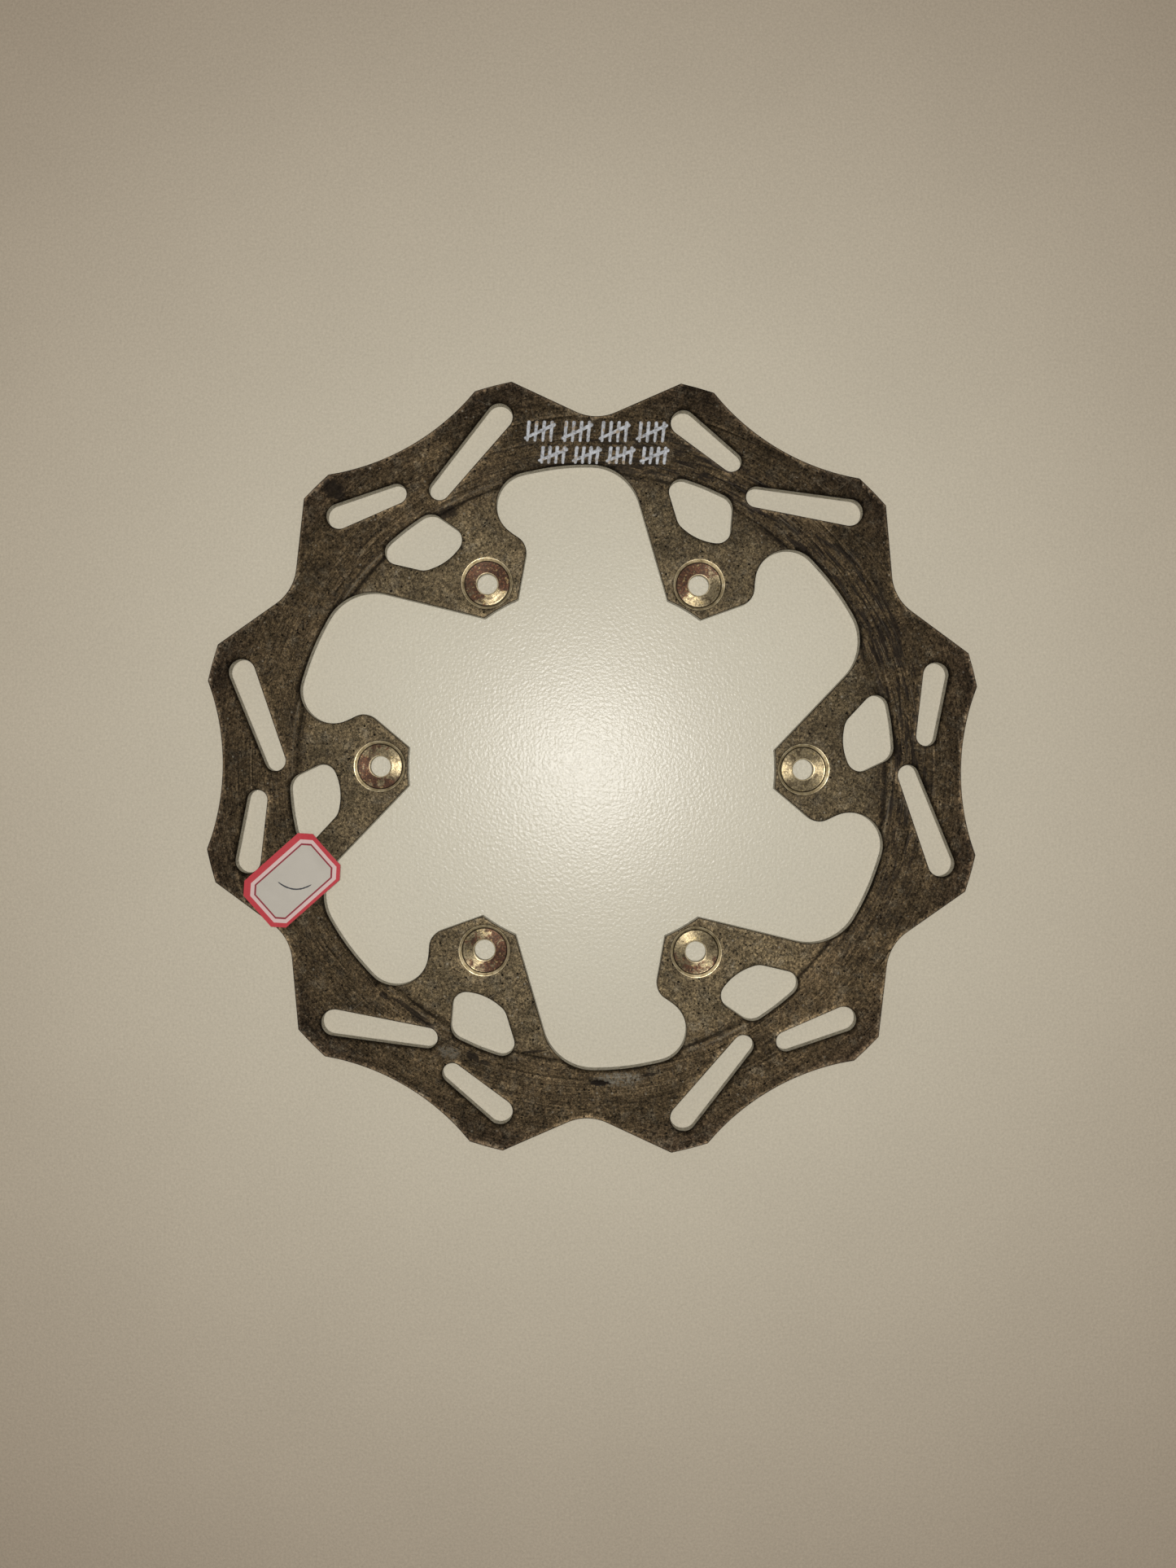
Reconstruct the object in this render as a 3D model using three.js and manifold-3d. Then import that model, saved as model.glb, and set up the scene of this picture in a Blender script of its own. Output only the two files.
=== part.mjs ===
// Motorcycle rear brake disc: a one-piece steel rotor with a waved rim and six bolt tabs, carrying a
// stuck-on paper label and two rows of tally marks drawn with a white paint marker.
//
// Millimetres, +Z up. The origin is on the disc's axis at its back face, which seats on the wheel hub,
// and the bolt recesses open upwards. The disc repeats every 60 degrees, so each feature is stated once,
// for the sector whose bolt tab lies on +X.

import * as THREE from "three";
import { mergeVertices } from "three/addons/utils/BufferGeometryUtils.js";
import Module from "manifold-3d";

// Plate
const OUTER_RADIUS = 122.5;
const REGISTER_RADIUS = 57.3;
const THICKNESS = 4;
const SECTORS = 6;
const SECTOR_ANGLE = 360 / SECTORS;

// Waved rim: a shallow round valley on each tab's axis, and a deeper V-shaped one between two tabs
const SHALLOW_HALF_ANGLE = 12.36;
const SHALLOW_FLOOR_RADIUS = 114.9;
const DEEP_AXIS_ANGLE = 29.75;
const DEEP_HALF_ANGLE = 12.4;
const DEEP_VERTEX_RADIUS = 107.8;
const DEEP_ROUNDING = 15;

// Central opening, clockwise from a tab's end: half the tab end's angle, then each corner of the bay
// that follows as x, y and rounding radius
const TAB_HALF_ANGLE = 6;
const BAY_CORNERS = [
  [70.3, -17.1, 5.4],
  [97.2, -4.1, 10.2],
  [86.8, -38.0, 80],
  [76.2, -56.4, 16],
];

// Window at the root of each tab: corners as x, y and rounding radius
const WINDOW_CORNERS = [
  [90.4, 27.6, 3.9],
  [93.2, 14.3, 68],
  [94.1, 4.1, 4.9],
  [81.5, -2.0, 4.3],
  [77.4, 7.5, 18],
  [78.9, 15.1, 5.5],
];

// Tapered slots through the braking band: the centre and radius of each round end
const SHORT_SLOT = { from: [104.0, 10.7, 3.1], to: [106.8, 29.7, 3.9] };
const LONG_SLOT = { from: [98.5, -1.5, 3.2], to: [109.0, -28.9, 4.1] };

// Bolt holes: a flat-floored recess with a tapered wall around each clearance hole for an M6 bolt
const BOLT_CIRCLE_RADIUS = 66;
const BOLT_HOLE_RADIUS = 3.2;
const RECESS_FLOOR_RADIUS = 6.7;
const RECESS_WALL_FOOT_RADIUS = 7.1;
const RECESS_RIM_RADIUS = 7.8;
const RECESS_DEPTH = 1.5;
const RECESS_CORNER_HEIGHT = 0.3;
const CUTTER_OVERRUN = 1;

// Price label, stuck to the front face across the ring and the gaps beside it
const LABEL_LENGTH = 29;
const LABEL_WIDTH = 19.5;
const LABEL_CORNER_CUT = 3.3;
const LABEL_THICKNESS = 0.12;
const LABEL_CENTRE = [-93, -35.7];
const LABEL_ANGLE = 42;

// Tally marks: rows of four upright strokes crossed by a slanting one, in dried marker paint
const PAINT_THICKNESS = 0.1;
const STROKES_PER_TALLY = 4;
const STROKE_RADIUS = 0.6;
const STROKE_TAPER = 0.8;
const STROKE_LEAN = 0.5;
const CROSS_STROKE_OVERHANG = 0.9;
const CROSS_STROKE_RISE = 0.75;
const TALLIES_PER_ROW = 4;
const TALLY_ROWS = [
  { name: "upper", centre: [0.5, 104.4], pitch: 11.6, strokeGap: 2.4, height: 5.6 },
  { name: "lower", centre: [3, 97.1], pitch: 10.5, strokeGap: 2.2, height: 4.6 },
];

// Largest distance between a round edge and the straight facet that stands for it
const CHORD_ERROR = 0.05;

const STEEL = { color: 0x5d574c, roughness: 0.5, metalness: 0.9 };
const PAPER = { color: 0xe3ddd2, roughness: 0.8, metalness: 0 };
const MARKER_PAINT = { color: 0xd9d7d0, roughness: 0.6, metalness: 0 };

const wasm = await Module();
wasm.setup();

// ---- Outlines ----

const radians = THREE.MathUtils.degToRad;

function polarPoint(radius, degrees) {
  return new THREE.Vector2(radius * Math.cos(radians(degrees)), radius * Math.sin(radians(degrees)));
}

function turned(points, degrees) {
  const centre = new THREE.Vector2(0, 0);
  return points.map((point) => point.clone().rotateAround(centre, radians(degrees)));
}

// Points along an arc, both ends included. Angles are in radians, and a negative sweep runs clockwise.
function arcPoints(centre, radius, start, sweep) {
  const largestStep = 2 * Math.acos(1 - CHORD_ERROR / radius);
  const steps = Math.max(1, Math.ceil(Math.abs(sweep) / largestStep));
  return Array.from({ length: steps + 1 }, (_, i) => {
    const angle = start + (sweep * i) / steps;
    return new THREE.Vector2(centre.x + radius * Math.cos(angle), centre.y + radius * Math.sin(angle));
  });
}

function axisArc(radius, fromDegrees, toDegrees) {
  return arcPoints(new THREE.Vector2(0, 0), radius, radians(fromDegrees), radians(toDegrees - fromDegrees));
}

// The arc that rounds the corner between the points before and after it
function roundedCorner(before, corner, after, radius) {
  const toBefore = before.clone().sub(corner).normalize();
  const toAfter = after.clone().sub(corner).normalize();
  const halfAngle = Math.acos(toBefore.dot(toAfter)) / 2;
  const bisector = toBefore.clone().add(toAfter).normalize();
  const centre = corner.clone().addScaledVector(bisector, radius / Math.sin(halfAngle));
  const tangentLength = radius / Math.tan(halfAngle);
  const first = corner.clone().addScaledVector(toBefore, tangentLength).sub(centre);
  const sweep = (Math.PI - 2 * halfAngle) * -Math.sign(toBefore.cross(toAfter));
  return arcPoints(centre, radius, first.angle(), sweep);
}

// A closed outline through [point, rounding] corners
function roundedOutline(corners) {
  return corners.flatMap(([point, rounding], i) => {
    if (rounding === 0) {
      return [point];
    }
    const [before] = corners[(i + corners.length - 1) % corners.length];
    const [after] = corners[(i + 1) % corners.length];
    return roundedCorner(before, point, after, rounding);
  });
}

const sharp = (point) => [point, 0];
const rounded = ([x, y, rounding]) => [new THREE.Vector2(x, y), rounding];

// Two round ends joined by their common tangents
function taperedOutline({ from, to }) {
  const [start, startRadius] = rounded(from);
  const [end, endRadius] = rounded(to);
  const along = end.clone().sub(start);
  const direction = along.angle();
  const tangentAngle = Math.acos((startRadius - endRadius) / along.length());
  return [
    ...arcPoints(start, startRadius, direction + tangentAngle, 2 * (Math.PI - tangentAngle)),
    ...arcPoints(end, endRadius, direction - tangentAngle, 2 * tangentAngle),
  ];
}

// The round valley on a tab's axis, between its two sharp tips
function shallowValley(axisDegrees) {
  const tip = polarPoint(OUTER_RADIUS, SHALLOW_HALF_ANGLE);
  const rise = tip.x - SHALLOW_FLOOR_RADIUS;
  const radius = (tip.y ** 2 + rise ** 2) / (2 * rise);
  const centre = new THREE.Vector2(SHALLOW_FLOOR_RADIUS + radius, 0);
  const halfSweep = Math.asin(tip.y / radius);
  const arc = arcPoints(centre, radius, Math.PI + halfSweep, -2 * halfSweep);
  return turned(arc.slice(1, -1), axisDegrees);
}

function rimOutline() {
  const corners = [];
  for (let sector = 0; sector < SECTORS; sector += 1) {
    const tabAxis = sector * SECTOR_ANGLE;
    const deepAxis = tabAxis + DEEP_AXIS_ANGLE;
    const nextTabAxis = tabAxis + SECTOR_ANGLE;
    const firstCrest = axisArc(OUTER_RADIUS, tabAxis + SHALLOW_HALF_ANGLE, deepAxis - DEEP_HALF_ANGLE);
    const secondCrest = axisArc(OUTER_RADIUS, deepAxis + DEEP_HALF_ANGLE, nextTabAxis - SHALLOW_HALF_ANGLE);
    corners.push(
      ...shallowValley(tabAxis).map(sharp),
      ...firstCrest.map(sharp),
      [polarPoint(DEEP_VERTEX_RADIUS, deepAxis), DEEP_ROUNDING],
      ...secondCrest.map(sharp),
    );
  }
  return roundedOutline(corners);
}

function centralOutline() {
  const tabEnd = axisArc(REGISTER_RADIUS, TAB_HALF_ANGLE, -TAB_HALF_ANGLE).map(sharp);
  const bay = BAY_CORNERS.map(rounded);
  const corners = [];
  for (let sector = 0; sector < SECTORS; sector += 1) {
    for (const [point, rounding] of [...tabEnd, ...bay]) {
      corners.push([turned([point], -sector * SECTOR_ANGLE)[0], rounding]);
    }
  }
  return roundedOutline(corners);
}

// ---- Solids ----

function solidFrom(geometry) {
  const plain = geometry.clone();
  plain.deleteAttribute("normal");
  plain.deleteAttribute("uv");
  const merged = mergeVertices(plain);
  return new wasm.Manifold(new wasm.Mesh({
    numProp: 3,
    vertProperties: merged.attributes.position.array,
    triVerts: new Uint32Array(merged.index.array),
  }));
}

function geometryFrom(solid) {
  const { vertProperties, triVerts } = solid.getMesh();
  const geometry = new THREE.BufferGeometry();
  geometry.setAttribute("position", new THREE.BufferAttribute(vertProperties, 3));
  geometry.setIndex(new THREE.BufferAttribute(triVerts, 1));
  return geometry;
}

function extruded(outline, depth, holes = []) {
  const shape = new THREE.Shape(outline);
  shape.holes = holes.map((hole) => new THREE.Path(hole));
  return new THREE.ExtrudeGeometry(shape, { depth, bevelEnabled: false });
}

function plateBlank() {
  const sectorHoles = [
    taperedOutline(SHORT_SLOT),
    taperedOutline(LONG_SLOT),
    roundedOutline(WINDOW_CORNERS.map(rounded)),
  ];
  const holes = [centralOutline()];
  for (let sector = 0; sector < SECTORS; sector += 1) {
    holes.push(...sectorHoles.map((hole) => turned(hole, sector * SECTOR_ANGLE)));
  }
  return extruded(rimOutline(), THICKNESS, holes);
}

// Everything removed at one bolt hole, around the hole's own axis
function boltCutter() {
  const floor = THICKNESS - RECESS_DEPTH;
  const wallFoot = floor + RECESS_CORNER_HEIGHT;
  const wallSlope = (RECESS_RIM_RADIUS - RECESS_WALL_FOOT_RADIUS) / (THICKNESS - wallFoot);
  const top = THICKNESS + CUTTER_OVERRUN;
  const profile = [
    new THREE.Vector2(0, -CUTTER_OVERRUN),
    new THREE.Vector2(BOLT_HOLE_RADIUS, -CUTTER_OVERRUN),
    new THREE.Vector2(BOLT_HOLE_RADIUS, floor),
    new THREE.Vector2(RECESS_FLOOR_RADIUS, floor),
    new THREE.Vector2(RECESS_WALL_FOOT_RADIUS, wallFoot),
    new THREE.Vector2(RECESS_RIM_RADIUS + wallSlope * CUTTER_OVERRUN, top),
    new THREE.Vector2(0, top),
  ];
  const sides = 48;
  return new THREE.LatheGeometry(profile, sides).rotateX(Math.PI / 2);
}

function rotorPlate() {
  const cutter = solidFrom(boltCutter()).translate([BOLT_CIRCLE_RADIUS, 0, 0]);
  let plate = solidFrom(plateBlank());
  for (let sector = 0; sector < SECTORS; sector += 1) {
    plate = plate.subtract(cutter.rotate([0, 0, sector * SECTOR_ANGLE]));
  }
  return geometryFrom(plate);
}

function priceLabel() {
  const x = LABEL_LENGTH / 2;
  const y = LABEL_WIDTH / 2;
  const cut = LABEL_CORNER_CUT;
  const quarter = [[x, y - cut], [x - cut, y]];
  const outline = [
    ...quarter,
    ...quarter.map(([a, b]) => [-a, b]).reverse(),
    ...quarter.map(([a, b]) => [-a, -b]),
    ...quarter.map(([a, b]) => [a, -b]).reverse(),
  ];
  return extruded(outline.map(([a, b]) => new THREE.Vector2(a, b)), LABEL_THICKNESS);
}

// Strokes thin out towards their lower end, as a marker's do
function paintStroke(from, to) {
  const stroke = { from: [...from, STROKE_RADIUS], to: [...to, STROKE_RADIUS * STROKE_TAPER] };
  return solidFrom(extruded(taperedOutline(stroke), PAINT_THICKNESS));
}

function tallyMark({ strokeGap, height }) {
  const halfHeight = height / 2;
  const halfSpan = (strokeGap * (STROKES_PER_TALLY - 1)) / 2;
  const reach = halfSpan + CROSS_STROKE_OVERHANG;
  const crossHeight = halfHeight * CROSS_STROKE_RISE;
  let mark = paintStroke([reach, crossHeight], [-reach, -crossHeight]);
  for (let i = 0; i < STROKES_PER_TALLY; i += 1) {
    const x = i * strokeGap - halfSpan;
    mark = mark.add(paintStroke([x + STROKE_LEAN / 2, halfHeight], [x - STROKE_LEAN / 2, -halfHeight]));
  }
  return geometryFrom(mark);
}

// ---- Assembly ----

function namedMesh(name, geometry, finish) {
  const mesh = new THREE.Mesh(geometry, new THREE.MeshStandardMaterial(finish));
  mesh.name = name;
  return mesh;
}

const group = new THREE.Group();
group.add(namedMesh("rotor_plate", rotorPlate(), STEEL));

const frontFace = new THREE.Group();
frontFace.position.z = THICKNESS;
group.add(frontFace);

const label = namedMesh("price_label", priceLabel(), PAPER);
label.position.set(...LABEL_CENTRE, 0);
label.rotation.z = radians(LABEL_ANGLE);
frontFace.add(label);

for (const row of TALLY_ROWS) {
  for (let i = 0; i < TALLIES_PER_ROW; i += 1) {
    const mark = namedMesh(`tally_mark_${row.name}_${i + 1}`, tallyMark(row), MARKER_PAINT);
    const offset = (i - (TALLIES_PER_ROW - 1) / 2) * row.pitch;
    mark.position.set(row.centre[0] + offset, row.centre[1], 0);
    frontFace.add(mark);
  }
}

export default group;
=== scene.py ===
import math
import random

import bpy
import numpy as np
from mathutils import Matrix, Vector, geometry, kdtree, noise


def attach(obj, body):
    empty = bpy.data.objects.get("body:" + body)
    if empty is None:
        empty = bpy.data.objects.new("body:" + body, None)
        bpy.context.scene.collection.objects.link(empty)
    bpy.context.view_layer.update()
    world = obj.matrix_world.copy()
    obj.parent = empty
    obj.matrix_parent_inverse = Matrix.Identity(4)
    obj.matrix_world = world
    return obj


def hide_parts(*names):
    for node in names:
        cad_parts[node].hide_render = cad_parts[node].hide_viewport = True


# A used motorcycle brake disc lying flat, seen from above. Shapes are worked out in millimetres in the
# CAD frame and turned into metres when a mesh is made.

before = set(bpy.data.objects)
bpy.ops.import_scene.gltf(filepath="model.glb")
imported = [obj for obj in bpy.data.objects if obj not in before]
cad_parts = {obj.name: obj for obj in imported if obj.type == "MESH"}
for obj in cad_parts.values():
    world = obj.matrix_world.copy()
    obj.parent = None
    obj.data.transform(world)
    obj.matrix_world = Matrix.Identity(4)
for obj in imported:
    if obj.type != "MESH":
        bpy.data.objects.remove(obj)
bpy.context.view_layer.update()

MM = 0.001
THICKNESS = 4.0
BOLT_CIRCLE = 66.0
TABS = 6
EDGE_ROUNDING = 0.22
BAND_RADIUS = 91.7


# ---- Outlines ----

def flat_face_outlines(node, height):
    """Closed outlines of a CAD node's flat face at that height, with the material on their left."""
    mesh = node.data
    mesh.calc_loop_triangles()
    places = np.array([v.co for v in mesh.vertices]) * 1000
    _, first, welded = np.unique(np.round(places, 3), axis=0, return_index=True, return_inverse=True)
    welded = welded.ravel()
    triangles = np.array([t.vertices for t in mesh.loop_triangles])
    level = np.all(np.abs(places[triangles][:, :, 2] - height) < 0.004, axis=1)
    triangles = welded[triangles[level]].tolist()
    edges = {pair for a, b, c in triangles for pair in ((a, b), (b, c), (c, a))}
    following = {a: b for a, b in sorted(edges) if (b, a) not in edges}
    outlines = []
    while following:
        start = min(following)
        at = following.pop(start)
        outline = [start]
        while at != start:
            outline.append(at)
            at = following.pop(at)
        outlines.append(places[first[outline]][:, :2])
    return outlines


def curved_outline(points, spacing, sharp_degrees=25.0):
    """The outline with its facets turned back into curves, and a vector towards the open side at each
    point, longer at a corner so that an offset keeps its distance from both sides."""
    ahead = np.roll(points, -1, 0) - points
    length = np.linalg.norm(ahead, axis=1)
    direction = ahead / length[:, None]
    before = np.roll(direction, 1, 0)
    before_length = np.roll(length, 1)
    mean = before + direction
    mean /= np.linalg.norm(mean, axis=1)[:, None]
    tangent = mean.copy()
    tangent[before_length > 2.2 * length] = before[before_length > 2.2 * length]
    tangent[length > 2.2 * before_length] = direction[length > 2.2 * before_length]
    turn = np.arccos(np.clip((before * direction).sum(1), -1, 1))
    sharp = turn > math.radians(sharp_degrees)
    places, normals = [], []
    for i in range(len(points)):
        j = (i + 1) % len(points)
        leaving = direction[i] if sharp[i] else tangent[i]
        arriving = direction[i] if sharp[j] else tangent[j]
        bend = math.degrees(math.acos(np.clip(leaving @ arriving, -1, 1)))
        steps = max(1, math.ceil(length[i] / spacing - 0.2), math.ceil(bend / 8))
        for k in range(steps):
            t = k / steps
            place = ((2 * t**3 - 3 * t**2 + 1) * points[i] + (t**3 - 2 * t**2 + t) * length[i] * leaving
                     + (3 * t**2 - 2 * t**3) * points[j] + (t**3 - t**2) * length[i] * arriving)
            slope = ((6 * t**2 - 6 * t) * (points[i] - points[j]) / length[i]
                     + (3 * t**2 - 4 * t + 1) * leaving + (3 * t**2 - 2 * t) * arriving)
            stretch = 1.0
            if k == 0:
                slope = mean[i] if sharp[i] else tangent[i]
                stretch = 1 / math.cos(turn[i] / 2) if sharp[i] else 1.0
            slope = slope / np.linalg.norm(slope) * stretch
            places.append(place)
            normals.append((slope[1], -slope[0]))
    return np.array(places), np.array(normals)


def circle(centre, radius, count):
    angles = np.arange(count) * 2 * math.pi / count
    return np.c_[centre[0] + radius * np.cos(angles), centre[1] + radius * np.sin(angles)]


def inside(points, outlines):
    """Whether each point has an odd number of the outlines' sides to its right."""
    starts = np.concatenate(outlines)
    ends = np.concatenate([np.roll(o, -1, 0) for o in outlines])
    x0, y0 = starts.T
    x1, y1 = ends.T
    found = np.zeros(len(points), bool)
    slope = (x1 - x0) / np.where(y1 == y0, 1e-12, y1 - y0)
    for k in range(0, len(points), 3000):
        x = points[k:k + 3000, 0, None]
        y = points[k:k + 3000, 1, None]
        crossed = ((y0 > y) != (y1 > y)) & (x < x0 + (y - y0) * slope)
        found[k:k + 3000] = crossed.sum(1) % 2 == 1
    return found


def clear_of(points, edges, gap):
    """The points that are further than the gap from every edge point."""
    tree = kdtree.KDTree(len(edges))
    for i, (x, y) in enumerate(edges):
        tree.insert((x, y, 0), i)
    tree.balance()
    return points[np.array([tree.find((x, y, 0))[2] > gap for x, y in points], bool)]


# ---- Meshes ----

class Sheet:
    """Vertices and faces of a piece as it is built up, in millimetres."""

    def __init__(self):
        self.places = []
        self.faces = []
        self.slots = []

    def add(self, places):
        first = len(self.places)
        self.places.extend(map(tuple, places))
        return list(range(first, len(self.places)))

    def face(self, corners, slot=0):
        self.faces.append(tuple(corners))
        self.slots.append(slot)

    def strip(self, upper, lower, slot=0):
        """Quads between two closed rings. They face right when the ring is walked with up on top."""
        for i in range(len(upper)):
            j = (i + 1) % len(upper)
            self.face((upper[i], lower[i], lower[j], upper[j]), slot)

    def fill(self, rings, interior, height, slot=0, upwards=True, creases=()):
        """Triangles between closed rings that are already there, over free points and crease lines."""
        known = [index for ring in rings for index in ring]
        flat = [Vector(self.places[index][:2]) for index in known]
        edges, at = [], 0
        for ring in rings:
            edges += [(at + i, at + (i + 1) % len(ring)) for i in range(len(ring))]
            at += len(ring)
        flat += [Vector(point) for point in interior]
        for line in creases:
            edges += [(len(flat) + i, len(flat) + i + 1) for i in range(len(line) - 1)]
            flat += [Vector(point) for point in line]
        corners, _, triangles, origin, _, _ = geometry.delaunay_2d_cdt(flat, edges, [], 0, 1e-5, True)
        indices, free = [], []
        for corner, source in zip(corners, origin):
            ring_points = [s for s in source if s < len(known)]
            if ring_points:
                indices.append(known[ring_points[0]])
            else:
                indices += self.add([(corner.x, corner.y, height(corner.x, corner.y))])
            free.append(bool(source) and not ring_points)
        outlines = [np.array([self.places[index][:2] for index in ring]) for ring in rings]
        tested = [n for n, t in enumerate(triangles) if not any(free[c] for c in t)]
        middle = np.array([[sum(corners[c].x for c in triangles[n]) / 3,
                            sum(corners[c].y for c in triangles[n]) / 3] for n in tested]).reshape(-1, 2)
        dropped = {n for n, kept in zip(tested, inside(middle, outlines)) if not kept}
        for n, triangle in enumerate(triangles):
            if n in dropped:
                continue
            a, b, c = (corners[k] for k in triangle)
            turned = (b - a).cross(c - b) < 0
            order = triangle if turned != upwards else triangle[::-1]
            self.face([indices[k] for k in order], slot)

    def make(self, name, materials, smooth_degrees=40):
        mesh = bpy.data.meshes.new(name)
        mesh.from_pydata((np.array(self.places) * MM).tolist(), [], self.faces)
        mesh.polygons.foreach_set("material_index", self.slots)
        for material in materials:
            mesh.materials.append(material)
        mesh.polygons.foreach_set("use_smooth", [True] * len(mesh.polygons))
        mesh.set_sharp_from_angle(angle=math.radians(smooth_degrees))
        mesh.update()
        piece = bpy.data.objects.new(name, mesh)
        bpy.context.scene.collection.objects.link(piece)
        return piece


# ---- Shader nodes ----

class Nodes:
    """A material's node tree, built one node at a time."""

    def __init__(self, name):
        self.material = bpy.data.materials.new(name)
        self.material.use_nodes = True
        self.tree = self.material.node_tree
        self.tree.nodes.clear()
        self.output = self.tree.nodes.new("ShaderNodeOutputMaterial")
        self.bsdf = self.tree.nodes.new("ShaderNodeBsdfPrincipled")
        self.tree.links.new(self.bsdf.outputs[0], self.output.inputs["Surface"])

    def put(self, socket, value):
        if isinstance(value, bpy.types.NodeSocket):
            self.tree.links.new(value, socket)
        elif value is not None:
            if isinstance(value, (tuple, list)) and socket.type == "RGBA" and len(value) == 3:
                value = (*value, 1)
            socket.default_value = value

    def set(self, **values):
        for name, value in values.items():
            self.put(self.bsdf.inputs[name.replace("_", " ")], value)

    def place(self):
        """Object coordinates in millimetres."""
        coordinates = self.tree.nodes.new("ShaderNodeTexCoord")
        return self.vector("SCALE", coordinates.outputs["Object"], scale=1000.0)

    def vector(self, operation, a, b=None, scale=None):
        node = self.tree.nodes.new("ShaderNodeVectorMath")
        node.operation = operation
        self.put(node.inputs[0], a)
        self.put(node.inputs[1], b)
        if operation == "SCALE":
            self.put(node.inputs["Scale"], scale)
        return node.outputs["Value" if operation in ("LENGTH", "DISTANCE", "DOT_PRODUCT") else "Vector"]

    def math(self, operation, a, b=None, c=None, clamp=False):
        node = self.tree.nodes.new("ShaderNodeMath")
        node.operation = operation
        node.use_clamp = clamp
        for socket, value in zip(node.inputs, (a, b, c)):
            self.put(socket, value)
        return node.outputs[0]

    def combine(self, x, y, z):
        node = self.tree.nodes.new("ShaderNodeCombineXYZ")
        for socket, value in zip(node.inputs, (x, y, z)):
            self.put(socket, value)
        return node.outputs[0]

    def noise(self, vector, scale, detail=2.0, roughness=0.5, distortion=0.0, seed=0.0):
        node = self.tree.nodes.new("ShaderNodeTexNoise")
        node.noise_dimensions = "4D"
        self.put(node.inputs["Vector"], vector)
        self.put(node.inputs["W"], seed)
        self.put(node.inputs["Scale"], scale)
        self.put(node.inputs["Detail"], detail)
        self.put(node.inputs["Roughness"], roughness)
        self.put(node.inputs["Distortion"], distortion)
        return node.outputs["Fac"]

    def cells(self, vector, scale, randomness=1.0):
        node = self.tree.nodes.new("ShaderNodeTexVoronoi")
        self.put(node.inputs["Vector"], vector)
        self.put(node.inputs["Scale"], scale)
        self.put(node.inputs["Randomness"], randomness)
        return node.outputs["Distance"], node.outputs["Color"]

    def remap(self, value, low, high, to_low=0.0, to_high=1.0, smooth=True):
        node = self.tree.nodes.new("ShaderNodeMapRange")
        node.interpolation_type = "SMOOTHSTEP" if smooth else "LINEAR"
        node.clamp = True
        for name, v in (("Value", value), ("From Min", low), ("From Max", high),
                        ("To Min", to_low), ("To Max", to_high)):
            self.put(node.inputs[name], v)
        return node.outputs["Result"]

    def ramp(self, value, stops):
        node = self.tree.nodes.new("ShaderNodeValToRGB")
        elements = node.color_ramp.elements
        while len(elements) < len(stops):
            elements.new(0.5)
        for element, (at, colour) in zip(elements, stops):
            element.position = at
            element.color = (*colour, 1)
        self.put(node.inputs[0], value)
        return node.outputs["Color"]

    def mix(self, factor, a, b, blend="MIX"):
        node = self.tree.nodes.new("ShaderNodeMix")
        node.data_type = "RGBA"
        node.blend_type = blend
        node.clamp_factor = True
        self.put(node.inputs[0], factor)
        self.put(node.inputs[6], a)
        self.put(node.inputs[7], b)
        return node.outputs[2]

    def tint(self, colour, value):
        """The colour, brightened or darkened by a factor."""
        return self.vector("SCALE", colour, scale=value)

    def attribute(self, name, output="Vector"):
        node = self.tree.nodes.new("ShaderNodeAttribute")
        node.attribute_name = name
        return node.outputs[output]

    def bump(self, height, distance, normal=None, strength=1.0):
        node = self.tree.nodes.new("ShaderNodeBump")
        self.put(node.inputs["Height"], height)
        self.put(node.inputs["Distance"], distance)
        self.put(node.inputs["Strength"], strength)
        self.put(node.inputs["Normal"], normal)
        return node.outputs[0]

    def spot(self, place, centre, reach, angle=0.0, soft=0.6, ragged=0.35, seed=0.0):
        """1 within an oval patch with a ragged edge, 0 outside."""
        local = self.vector("SUBTRACT", place, (*centre, 0))
        turned = self.tree.nodes.new("ShaderNodeVectorRotate")
        turned.rotation_type = "Z_AXIS"
        self.put(turned.inputs["Vector"], local)
        self.put(turned.inputs["Angle"], -math.radians(angle))
        shaped = self.vector("MULTIPLY", turned.outputs[0], (1 / reach[0], 1 / reach[1], 0))
        distance = self.vector("LENGTH", shaped)
        rough = self.noise(place, 0.9, 3, 0.6, seed=seed)
        distance = self.math("ADD", distance, self.math("MULTIPLY_ADD", rough, 2 * ragged, -ragged))
        return self.remap(distance, 1.0, 1.0 - soft)


def polar(shader):
    """Place in millimetres, radius, and the unit vector from the disc's axis."""
    place = shader.place()
    flat = shader.vector("MULTIPLY", place, (1, 1, 0))
    return place, shader.vector("LENGTH", flat), shader.vector("NORMALIZE", flat)


def streaks(shader, radius, outward, length, width, seed, detail=2.0):
    """Marks along the direction of rotation, of that length and width in millimetres."""
    around = shader.vector("SCALE", outward, scale=100.0 / length)
    across = shader.math("MULTIPLY", radius, 1.0 / width)
    stretched = shader.vector("ADD", around, shader.combine(0.0, 0.0, across))
    return shader.noise(stretched, 1.0, detail, 0.55, seed=seed)


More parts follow.
